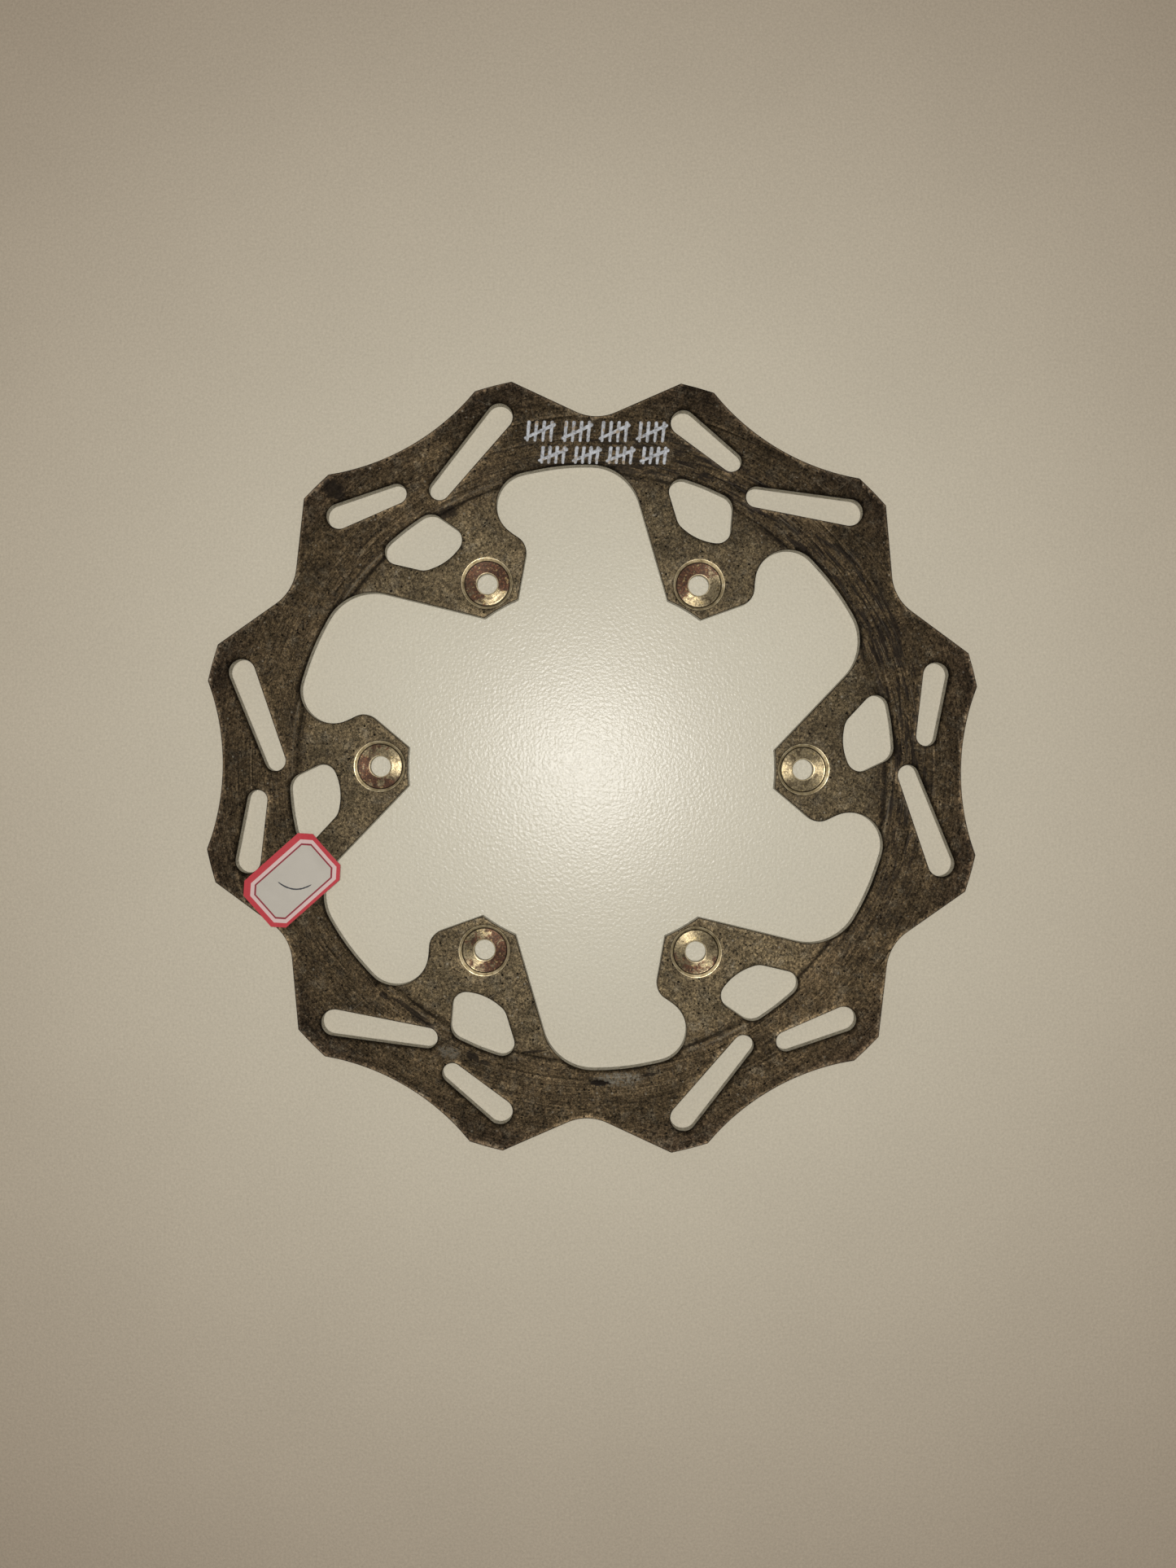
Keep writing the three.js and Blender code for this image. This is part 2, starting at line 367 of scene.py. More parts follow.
def worn_steel(name, seed, front=True):
    """Oiled, pitted and scored steel: greyer on the tabs, browner and darker on the braking band."""
    s = Nodes(name)
    place, radius, outward = polar(s)

    wander = s.math("MULTIPLY_ADD", s.noise(place, 0.06, 2, 0.5, seed=seed + 1), 6.0, -3.0)
    band = s.remap(s.math("ADD", radius, wander), 84.0, 95.0)
    rim = s.remap(radius, 108.0, 123.0)

    tab_colour = (0.0575, 0.0430, 0.0236)
    ring_colour = (0.0490, 0.0342, 0.0180)
    rim_colour = (0.0355, 0.0238, 0.0137)
    colour = s.mix(band, tab_colour, ring_colour)
    colour = s.mix(rim, colour, rim_colour)

    fine = s.noise(place, 1.9, 5, 0.75, seed=seed + 2)
    middle = s.noise(place, 0.85, 3, 0.62, seed=seed + 3)
    cloudy = s.noise(place, 0.13, 3, 0.55, seed=seed + 4)
    long_marks = streaks(s, radius, outward, 16.0, 0.55, seed + 5)
    short_marks = streaks(s, radius, outward, 5.0, 0.35, seed + 6, 3)

    tone = s.math("MULTIPLY_ADD", s.remap(fine, 0.37, 0.63, smooth=False), 2.10, 0.08)
    _, grains = s.cells(s.vector("ADD", place, (seed * 3, 7.7, 0)), 2.1)
    tone = s.math("MULTIPLY", tone, s.math("MULTIPLY_ADD", grains, 1.0, 0.50))
    tone = s.math("MULTIPLY", tone, s.math("MULTIPLY_ADD", s.remap(middle, 0.30, 0.70, smooth=False), 0.95, 0.54))
    tone = s.math("MULTIPLY", tone, s.math("MULTIPLY_ADD", s.remap(cloudy, 0.28, 0.72, smooth=False), 0.85, 0.58))
    # Painted shading: the face is made lighter towards +x and -y and darker towards -x and +y, as light falls across
    # it
    painted_light_slope = s.vector("DOT_PRODUCT", place, (0.0005, -0.0015, 0.0))
    tone = s.math("MULTIPLY", tone, s.math("ADD", painted_light_slope, 1.0))
    # Painted sheen: the face is lighter along the line through the axis at 120 and 300 degrees, like the highlight of
    # its circular scoring
    along = s.vector("DOT_PRODUCT", outward, (-0.5, 0.866, 0.0))
    tone = s.math("MULTIPLY", tone, s.math("MULTIPLY_ADD", s.math("MULTIPLY", along, along), 0.18, 0.91))
    marks = s.math("MULTIPLY_ADD", s.remap(long_marks, 0.28, 0.72, smooth=False), 0.7, 0.65)
    tone = s.math("MULTIPLY", tone, s.math("ADD", s.math("MULTIPLY", s.math("SUBTRACT", marks, 1.0), band), 1.0))
    colour = s.tint(colour, tone)

    # Where the metal has lost its oil film it is greyer, and where oil has dried on it is browner
    bare = s.remap(s.noise(place, 0.32, 4, 0.6, seed=seed + 7), 0.50, 0.68)
    colour = s.mix(s.math("MULTIPLY", bare, 0.35), colour, s.tint((0.084, 0.072, 0.051), tone))
    oiled = s.remap(s.noise(place, 0.21, 4, 0.62, seed=seed + 8), 0.52, 0.70)
    colour = s.mix(s.math("MULTIPLY", oiled, 0.4), colour, s.tint((0.046, 0.033, 0.018), tone))
    for centre, reach_mm, lighter in BROAD_TONES:
        patch = s.spot(place, centre, reach_mm, soft=0.95, ragged=0.3, seed=seed + centre[0])
        colour = s.tint(colour, s.math("MULTIPLY_ADD", patch, lighter if front else 0.5 * lighter, 1.0))

    # Corrosion pits and bright specks
    reach, kind = s.cells(s.vector("ADD", place, (seed, 0, 0)), 0.62)
    chosen = s.tree.nodes.new("ShaderNodeSeparateColor")
    s.put(chosen.inputs[0], kind)
    pit_size = s.math("MULTIPLY_ADD", s.remap(chosen.outputs[0], 0.45, 1.0), 0.26, 0.0)
    pits = s.math("MULTIPLY", s.remap(s.math("SUBTRACT", pit_size, reach), -0.02, 0.10),
                  s.remap(chosen.outputs[0], 0.45, 0.55))
    colour = s.mix(s.math("MULTIPLY", pits, 0.85), colour, (0.010, 0.008, 0.006))
    reach_2, kind_2 = s.cells(s.vector("ADD", place, (seed + 31.7, 11.3, 0)), 0.5)
    chosen_2 = s.tree.nodes.new("ShaderNodeSeparateColor")
    s.put(chosen_2.inputs[0], kind_2)
    speck_size = s.math("MULTIPLY", s.remap(chosen_2.outputs[1], 0.55, 1.0), 0.2)
    specks = s.math("MULTIPLY", s.remap(s.math("SUBTRACT", speck_size, reach_2), -0.02, 0.06),
                    s.remap(chosen_2.outputs[1], 0.55, 0.62))
    colour = s.mix(s.math("MULTIPLY", specks, 0.45), colour, (0.22, 0.195, 0.15))

    # Black spots in swarms, and pale crumbs of dried dirt
    swarm = s.remap(s.noise(place, 0.045, 3, 0.5, seed=seed + 13), 0.42, 0.60, 0.18, 1.0)
    black = s.math("MULTIPLY", s.remap(s.noise(place, 1.15, 3, 0.66, seed=seed + 14), 0.58, 0.65), swarm)
    colour = s.mix(s.math("MULTIPLY", black, 0.8), colour, (0.009, 0.007, 0.005))
    crumbs = s.remap(s.noise(place, 0.05, 3, 0.5, seed=seed + 15), 0.45, 0.60, 0.15, 1.0)
    pale = s.math("MULTIPLY", s.remap(s.noise(place, 1.35, 3, 0.66, seed=seed + 16), 0.61, 0.69), crumbs)
    colour = s.mix(s.math("MULTIPLY", pale, 0.5), colour, (0.15, 0.132, 0.098))

    # Scratches from handling, in three directions
    for number, degrees in enumerate((24.0, 78.0, 141.0)):
        turned = s.tree.nodes.new("ShaderNodeVectorRotate")
        turned.rotation_type = "Z_AXIS"
        s.put(turned.inputs["Vector"], place)
        s.put(turned.inputs["Angle"], math.radians(degrees))
        lined = s.noise(s.vector("MULTIPLY", turned.outputs[0], (0.11, 2.3, 0.0)), 1.0, 2, 0.6,
                        seed=seed + 30 + number)
        colour = s.mix(s.remap(lined, 0.655, 0.70, 0.0, 0.65), colour, (0.012, 0.009, 0.0065))
        colour = s.mix(s.remap(lined, 0.345, 0.30, 0.0, 0.35), colour, (0.15, 0.13, 0.10))

    # Light and dark scores around the band
    light = s.math("MULTIPLY", s.remap(short_marks, 0.66, 0.76), band)
    dark = s.math("MULTIPLY", s.remap(long_marks, 0.36, 0.27), band)
    colour = s.mix(s.math("MULTIPLY", light, 0.55), colour, (0.15, 0.128, 0.095))
    colour = s.mix(s.math("MULTIPLY", dark, 0.5), colour, (0.018, 0.0135, 0.009))

    # Burnt-on streaks from the pads, heaviest on one side of the band
    heavy = s.remap(s.vector("DOT_PRODUCT", outward, (0.80, 0.60, 0.0)), 0.0, 0.85, 0.12, 1.0)
    heavy = s.math("MULTIPLY", heavy, s.math("MULTIPLY", band, s.remap(radius, 110.0, 102.0)))
    burnt = s.remap(streaks(s, radius, outward, 8.0, 1.3, seed + 17, 4), 0.50, 0.57)
    colour = s.mix(s.math("MULTIPLY", s.math("MULTIPLY", burnt, heavy), 0.85), colour, (0.012, 0.0092, 0.007))
    drawn = s.remap(streaks(s, radius, outward, 14.0, 0.28, seed + 18, 3), 0.60, 0.70)
    colour = s.mix(s.math("MULTIPLY", s.math("MULTIPLY", drawn, heavy), 0.5), colour, (0.15, 0.13, 0.095))

    # Dark lines and a bright one at the foot of the band, where the pads stop
    facing = s.vector("DOT_PRODUCT", outward, (0.80, -0.60, 0.0))
    other = s.vector("DOT_PRODUCT", outward, (-0.62, -0.78, 0.0))
    opposite = s.vector("DOT_PRODUCT", outward, (-0.82, 0.57, 0.0))
    deeper = s.math("MAXIMUM", s.remap(facing, 0.45, 0.85), s.remap(other, 0.80, 0.97))
    deeper = s.math("MAXIMUM", deeper, s.remap(opposite, 0.72, 0.92))
    patchy = s.remap(streaks(s, radius, outward, 22.0, 3.0, seed + 19), 0.36, 0.56)
    for at, half, shade, faint, strong in ((BAND_RADIUS, 0.95, (0.014, 0.0105, 0.007), 0.14, 0.80),
                                           (BAND_RADIUS + 1.5, 0.45, (0.17, 0.145, 0.105), 0.0, 0.30),
                                           (BAND_RADIUS + 2.6, 0.60, (0.014, 0.0105, 0.007), 0.08, 0.60)):
        line = s.remap(s.math("ABSOLUTE", s.math("SUBTRACT", radius, at)), half, 0.1 * half)
        amount = s.math("MULTIPLY", s.math("MULTIPLY_ADD", deeper, strong - faint, faint), patchy)
        colour = s.mix(s.math("MULTIPLY", line, amount), colour, shade)

    # Dirt and painted shade: darker along the cut edges and around the bolt recesses
    rim_dirt_and_shade = s.math("MULTIPLY", s.remap(s.attribute("from_edge", "Fac"), 0.45, 0.0),
                      s.remap(middle, 0.30, 0.62, 0.25, 0.7))
    ring_dirt_and_shade = s.math("MULTIPLY", s.remap(s.attribute("from_recess", "Fac"), 0.42, 0.0),
                       s.remap(middle, 0.30, 0.60, 0.3, 0.8))
    colour = s.mix(s.math("MULTIPLY", s.math("MAXIMUM", rim_dirt_and_shade, ring_dirt_and_shade), 0.7), colour,
                   (0.014, 0.0105, 0.0075))

    if front:
        for centre, reach_mm, angle, strength in SCUFFS:
            patch = s.spot(place, centre, reach_mm, angle, soft=0.5, ragged=0.5, seed=seed + centre[1])
            grain = s.remap(s.noise(place, 1.4, 4, 0.7, seed=seed + 9), 0.40, 0.58)
            patch = s.math("MULTIPLY", patch, grain)
            colour = s.mix(s.math("MULTIPLY", patch, strength), colour, (0.140, 0.126, 0.098))
        for centre, reach_mm, angle, strength in SMUDGES:
            patch = s.spot(place, centre, reach_mm, angle, soft=0.3, ragged=0.75, seed=seed + centre[0])
            colour = s.mix(s.math("MULTIPLY", patch, strength), colour, (0.012, 0.0088, 0.0062))

    roughness = s.math("MULTIPLY_ADD", middle, 0.22, 0.36)
    roughness = s.math("ADD", roughness, s.math("MULTIPLY", pits, 0.25), clamp=True)
    height = s.math("MULTIPLY_ADD", fine, 0.55, s.math("MULTIPLY", middle, 0.6))
    height = s.math("SUBTRACT", height, s.math("MULTIPLY", pits, 1.2))
    scored = s.math("MULTIPLY", s.math("MULTIPLY", long_marks, band), 0.8)
    height = s.math("ADD", height, scored)
    s.set(Base_Color=colour, Metallic=0.92, Roughness=roughness, Normal=s.bump(height, 0.000045))
    s.bsdf.inputs["Specular IOR Level"].default_value = 0.4
    return s.material


def cut_edge():
    """The cut walls: greyer, with drag lines from front to back."""
    s = Nodes("cut_edge_steel")
    place = s.place()
    columns = s.vector("MULTIPLY", place, (1, 1, 0.22))
    drag = s.noise(columns, 3.2, 3, 0.6, seed=40)
    patchy = s.noise(place, 0.7, 3, 0.6, seed=41)
    colour = s.ramp(s.remap(drag, 0.25, 0.75, smooth=False),
                    [(0.0, (0.13, 0.117, 0.086)), (0.55, (0.30, 0.275, 0.210)), (1.0, (0.50, 0.465, 0.375))])
    colour = s.mix(s.remap(patchy, 0.50, 0.7, 0.0, 0.7), colour, (0.050, 0.040, 0.027))
    s.set(Base_Color=colour, Metallic=0.45, Roughness=s.math("MULTIPLY_ADD", patchy, 0.3, 0.3),
          Normal=s.bump(drag, 0.00008))
    return s.material


def recess_floor():
    """Turned floor of a bolt recess: bronze-coloured where bright, with red-brown rust over it."""
    s = Nodes("recess_floor_steel")
    place = s.place()
    local = s.attribute("recess_place")
    parts = s.tree.nodes.new("ShaderNodeSeparateXYZ")
    s.put(parts.inputs[0], local)
    rust_amount = s.attribute("recess_rust", "Fac")
    radius = s.vector("LENGTH", s.vector("MULTIPLY", local, (1, 1, 0)))
    turning = s.noise(s.combine(radius, 0.0, parts.outputs[2]), 3.4, 3, 0.7, seed=50)
    blotches = s.noise(place, 0.36, 4, 0.6, 0.6, seed=51)
    grain = s.noise(place, 1.6, 3, 0.6, seed=52)
    rust = s.math("ADD", blotches, s.math("MULTIPLY_ADD", grain, 0.3, -0.15))
    rust = s.math("ADD", rust, s.math("MULTIPLY_ADD", turning, 0.16, -0.08))
    rust = s.remap(s.math("ADD", rust, s.math("SUBTRACT", rust_amount, 0.5)), 0.46, 0.60)
    metal = s.ramp(s.remap(turning, 0.28, 0.72, smooth=False),
                   [(0.0, (0.105, 0.081, 0.046)), (0.5, (0.205, 0.163, 0.095)), (1.0, (0.34, 0.28, 0.175))])
    metal = s.tint(metal, s.math("MULTIPLY_ADD", s.remap(grain, 0.3, 0.7, smooth=False), 0.9, 0.45))
    red = s.ramp(s.remap(grain, 0.3, 0.72, smooth=False),
                 [(0.0, (0.013, 0.0058, 0.0035)), (0.5, (0.050, 0.0165, 0.0075)), (1.0, (0.145, 0.052, 0.022))])
    colour = s.mix(s.math("MULTIPLY", rust, 0.92), metal, red)
    gold = s.remap(s.noise(place, 1.1, 3, 0.65, seed=53), 0.58, 0.66)
    colour = s.mix(s.math("MULTIPLY", gold, 0.5), colour, (0.46, 0.345, 0.15))
    brown = s.remap(s.noise(place, 0.55, 4, 0.68, 0.5, seed=54), 0.50, 0.60)
    colour = s.mix(s.math("MULTIPLY", brown, 0.62), colour, (0.030, 0.0185, 0.0100))
    corner = s.remap(s.math("ABSOLUTE", s.math("SUBTRACT", radius, 7.0)), 0.26, 0.05)
    colour = s.mix(s.math("MULTIPLY", corner, 0.7), colour, (0.022, 0.014, 0.009))
    roughness = s.math("MULTIPLY_ADD", rust, 0.18, 0.31)
    height = s.math("ADD", s.math("MULTIPLY", turning, 0.8), s.math("MULTIPLY", grain, 0.5))
    s.set(Base_Color=colour, Metallic=s.math("MULTIPLY_ADD", rust, -0.20, 0.95), Roughness=roughness,
          Tangent=s.attribute("across_turning"), Normal=s.bump(height, 0.00004))
    s.bsdf.inputs["Anisotropic"].default_value = 0.62
    return s.material


def recess_wall():
    """Bright tapered wall of a bolt recess, with a painted highlight that makes it lighter on the side away from the
    disc's axis.
    """
    s = Nodes("recess_wall_steel")
    place = s.place()
    wear = s.noise(place, 0.5, 3, 0.6, seed=60)
    grain = s.noise(place, 2.4, 3, 0.6, seed=61)
    colour = s.ramp(s.remap(wear, 0.3, 0.7, smooth=False),
                    [(0.0, (0.26, 0.20, 0.105)), (0.5, (0.56, 0.45, 0.26)), (1.0, (0.85, 0.73, 0.49))])
    colour = s.tint(colour, s.math("MULTIPLY_ADD", grain, 0.8, 0.6))
    parts = s.tree.nodes.new("ShaderNodeSeparateXYZ")
    s.put(parts.inputs[0], s.attribute("recess_place"))
    # Painted highlight: lighter on the side away from the disc's axis, where the wall faces the light
    colour = s.tint(colour, s.remap(parts.outputs[0], 1.5, 7.5, 0.85, 1.7))
    s.set(Base_Color=colour, Metallic=0.25, Roughness=s.math("MULTIPLY_ADD", wear, -0.15, 0.42),
          Normal=s.bump(grain, 0.00003))
    return s.material


def printed_paper(name, base, mottle, dirt=0.35, seed=70, roughness=0.62):
    s = Nodes(name)
    place = s.place()
    fibre = s.noise(place, 2.6, 4, 0.65, seed=seed)
    soft = s.noise(place, 0.22, 3, 0.55, seed=seed + 1)
    stain = s.remap(s.noise(place, 0.16, 4, 0.6, seed=seed + 2), 0.58, 0.78)
    colour = s.tint(base, s.math("MULTIPLY_ADD", fibre, mottle, 1 - mottle / 2))
    colour = s.tint(colour, s.math("MULTIPLY_ADD", soft, 0.16, 0.92))
    colour = s.mix(s.math("MULTIPLY", stain, dirt), colour, s.tint(colour, 0.66))
    s.set(Base_Color=colour, Roughness=roughness, Normal=s.bump(fibre, 0.000018))
    s.bsdf.inputs["Specular IOR Level"].default_value = 0.35
    return s.material


def marker_paint():
    """Thin brushed-on white paint, worn to the brown metal in places and grey at its edges."""
    s = Nodes("marker_paint")
    place = s.place()
    body = s.attribute("paint_body", "Fac")
    drag = s.noise(place, 0.75, 4, 0.7, seed=80)
    worn = s.remap(s.noise(place, 0.30, 4, 0.62, 0.4, seed=81), 0.555, 0.64)
    colour = s.ramp(s.remap(drag, 0.34, 0.68, smooth=False),
                    [(0.0, (0.15, 0.148, 0.15)), (0.45, (0.43, 0.44, 0.46)), (1.0, (0.68, 0.705, 0.745))])
    colour = s.mix(s.math("MULTIPLY", worn, 0.8), colour, (0.31, 0.205, 0.090))
    scraped = s.remap(s.noise(place, 2.2, 3, 0.6, seed=82), 0.60, 0.70)
    colour = s.mix(s.math("MULTIPLY", scraped, 0.5), colour, (0.14, 0.115, 0.085))
    colour = s.mix(s.remap(body, 0.42, 0.02, 0.0, 0.8), colour, (0.16, 0.145, 0.12))
    s.set(Base_Color=colour, Roughness=0.55, Normal=s.bump(drag, 0.00004))
    return s.material


def pen_ink():
    s = Nodes("pen_ink")
    place = s.place()
    flow = s.noise(place, 3.0, 3, 0.6, seed=90)
    colour = s.mix(s.remap(flow, 0.3, 0.7), (0.010, 0.012, 0.018), (0.035, 0.038, 0.046))
    s.set(Base_Color=colour, Roughness=0.5, Normal=s.bump(flow, 0.00001))
    return s.material


def painted_floor():
    """Plain pale floor with the faint orange-peel texture of sprayed paint."""
    s = Nodes("pale_floor")
    place = s.place()
    peel = s.noise(place, 1.05, 2, 0.45, seed=100)
    fine = s.noise(place, 3.0, 3, 0.6, seed=101)
    broad = s.noise(place, 0.02, 3, 0.5, seed=102)
    # Painted light: the floor's colour turns warmer away from the disc's middle, as the light falling on it does
    away = s.remap(s.vector("LENGTH", place), 60.0, 340.0, smooth=False)
    colour = s.mix(away, (0.617, 0.572, 0.457), (0.625, 0.512, 0.386))
    colour = s.tint(colour, s.math("MULTIPLY_ADD", broad, 0.10, 0.95))
    grain = s.noise(place, 1.3, 4, 0.7, seed=103)
    colour = s.tint(colour, s.math("MULTIPLY_ADD", grain, 0.56, 0.72))
    height = s.math("MULTIPLY_ADD", peel, 1.0, s.math("MULTIPLY", fine, 0.10))
    s.set(Base_Color=colour, Roughness=0.265, Normal=s.bump(height, 0.000105))
    s.bsdf.inputs["Specular IOR Level"].default_value = 0.185
    return s.material


# ---- Wear on the faces ----

BROAD_TONES = [((72.0, 8.0), (40.0, 26.0), -0.24), ((-50.0, 86.0), (30.0, 26.0), 0.42),
               ((78.0, -66.0), (46.0, 38.0), 0.36)]
SMUDGES = [
    ((-80.8, 85.8), (4.6, 3.2), -35.0, 0.85),
    ((-46.1, 78.8), (5.0, 2.2), 20.0, 0.8),
    ((-52.0, 74.5), (4.0, 1.0), 38.0, 0.7),
    ((3.2, -98.2), (4.0, 0.95), -2.0, 1.0),
    ((19.0, -95.4), (2.6, 0.65), 10.0, 0.85),
    ((-36.3, -90.2), (2.8, 1.3), -30.0, 0.85),
    ((-32.3, -92.2), (1.9, 0.8), -20.0, 0.8),
    ((-55.0, -76.5), (9.5, 0.9), -36.0, 0.8),
    ((-51.5, -80.0), (7.5, 0.7), -37.0, 0.75),
    ((-64.0, -71.5), (2.0, 1.1), -40.0, 0.85),
    ((-17.5, -88.5), (4.2, 0.5), 6.0, 0.8),
]
SCUFFS = [
    ((9.0, -96.9), (9.5, 2.6), 2.0, 1.0),
    ((-44.0, -88.8), (4.5, 2.5), -20.0, 0.6),
]

random.seed(7)


def random_scores(count, low, high, longest):
    """Scores left by grit under the brake pads: radius, start angle, sweep, drift, half width, depth."""
    found = []
    for _ in range(count):
        sweep = math.radians(random.uniform(3, longest))
        found.append((random.uniform(low, high), random.uniform(0, 2 * math.pi), sweep,
                      random.uniform(-1.2, 1.2), random.uniform(0.16, 0.30), random.uniform(0.02, 0.05)))
    return found


FRONT_SCORES = random_scores(34, 93.0, 106.5, 26) + random_scores(8, 107.0, 119.0, 16)
BACK_SCORES = random_scores(26, 93.0, 119.0, 24)
DENTS = [(random.uniform(60, 120), random.uniform(0, 2 * math.pi), random.uniform(0.5, 1.3),
          random.uniform(0.02, 0.06)) for _ in range(46)]


def score_line(score, side):
    radius, start, sweep, drift, half_width, _ = score
    steps = max(4, int(radius * sweep / 0.8))
    line = []
    for i in range(steps + 1):
        t = i / steps
        taper = math.sin(math.pi * min(1.0, max(0.0, 0.06 + 0.88 * t)))
        r = radius + drift * t * t + side * half_width * (0.35 + 0.65 * taper)
        line.append((r * math.cos(start + sweep * t), r * math.sin(start + sweep * t)))
    return line


def score_depth(scores, x, y):
    depth = 0.0
    radius, angle = math.hypot(x, y), math.atan2(y, x) % (2 * math.pi)
    for at, start, sweep, drift, half_width, deep in scores:
        if abs(radius - at) > 2.0:
            continue
        t = ((angle - start) % (2 * math.pi)) / sweep
        if t > 1.0:
            continue
        taper = math.sin(math.pi * min(1.0, max(0.0, 0.06 + 0.88 * t)))
        away = abs(radius - at - drift * t * t) / (half_width * (0.35 + 0.65 * taper))
        depth = max(depth, deep * taper * max(0.0, 1.0 - away))
    return depth


def smoothstep(low, high, value):
    t = min(1.0, max(0.0, (value - low) / (high - low)))
    return t * t * (3 - 2 * t)


def wear(x, y, scores, seed):
    """How far the worn face lies below the new one, in millimetres."""
    radius = math.hypot(x, y)
    worn = 0.09 * smoothstep(BAND_RADIUS - 0.5, BAND_RADIUS + 0.4, radius)
    worn += 0.025 * math.exp(-((radius - BAND_RADIUS) / 0.4) ** 2)
    if radius > BAND_RADIUS:
        worn += 0.010 * math.sin(radius * 1.45 + seed) + 0.008 * math.sin(radius * 0.83 + 2 * seed)
    worn += 0.02 * (noise.noise((x * 0.07, y * 0.07, seed)) + 1) * 0.5
    for at, angle, size, deep in DENTS:
        away = ((x - at * math.cos(angle + seed)) ** 2 + (y - at * math.sin(angle + seed)) ** 2) / size**2
        if away < 6:
            worn += deep * math.exp(-away * 1.5)
    return max(0.0, worn) + score_depth(scores, x, y)


def front_height(x, y):
    height = THICKNESS - wear(x, y, FRONT_SCORES, 0.0)
    # A gouge at the bottom of the band, with a lip of raised metal
    u, v = (x - 3.2), (y + 98.2) + 0.035 * (x - 3.2)
    if abs(u) < 8 and abs(v) < 3:
        height -= 0.18 * math.exp(-(u / 3.8) ** 4 - (v / 0.6) ** 2)
    return height


def back_height(x, y):
    return wear(x, y, BACK_SCORES, 2.4)


# ---- The disc ----

def ring_points(low, high, spacing, fine_at, fine_spacing):
    """Points on circles about the axis, closer together across one radius."""
    radii = []
    radius = low
    while radius < high:
        radii.append(radius)
        radius += fine_spacing if abs(radius - fine_at) < 1.3 else spacing
    points = []
    for number, radius in enumerate(radii):
        count = round(2 * math.pi * radius / spacing)
        turn = math.pi / count * (number % 2)
        angles = turn + np.arange(count) * 2 * math.pi / count
        points.append(np.c_[radius * np.cos(angles), radius * np.sin(angles)])
    return np.concatenate(points)


# Rust in each recess: amount, how much it varies around the recess, where it is most, where the metal
# stays bare and how bare it is there. Angles are in degrees from the outward direction.
RECESS_RUST = [(0.30, 0.05, 160, 190, 0.10), (0.56, 0.16, 75, 212, 0.42), (0.66, 0.06, 290, 182, 0.45),
               (0.54, 0.10, 30, 195, 0.26), (0.60, 0.12, 100, 350, 0.16), (0.44, 0.10, 330, 190, 0.30)]


def recess_rust(number, angle):
    amount, varies, most, bare_at, bare = RECESS_RUST[number]
    wedge = max(0.0, math.cos(angle - math.radians(bare_at))) ** 5
    return amount + varies * math.cos(angle - math.radians(most)) - bare * wedge


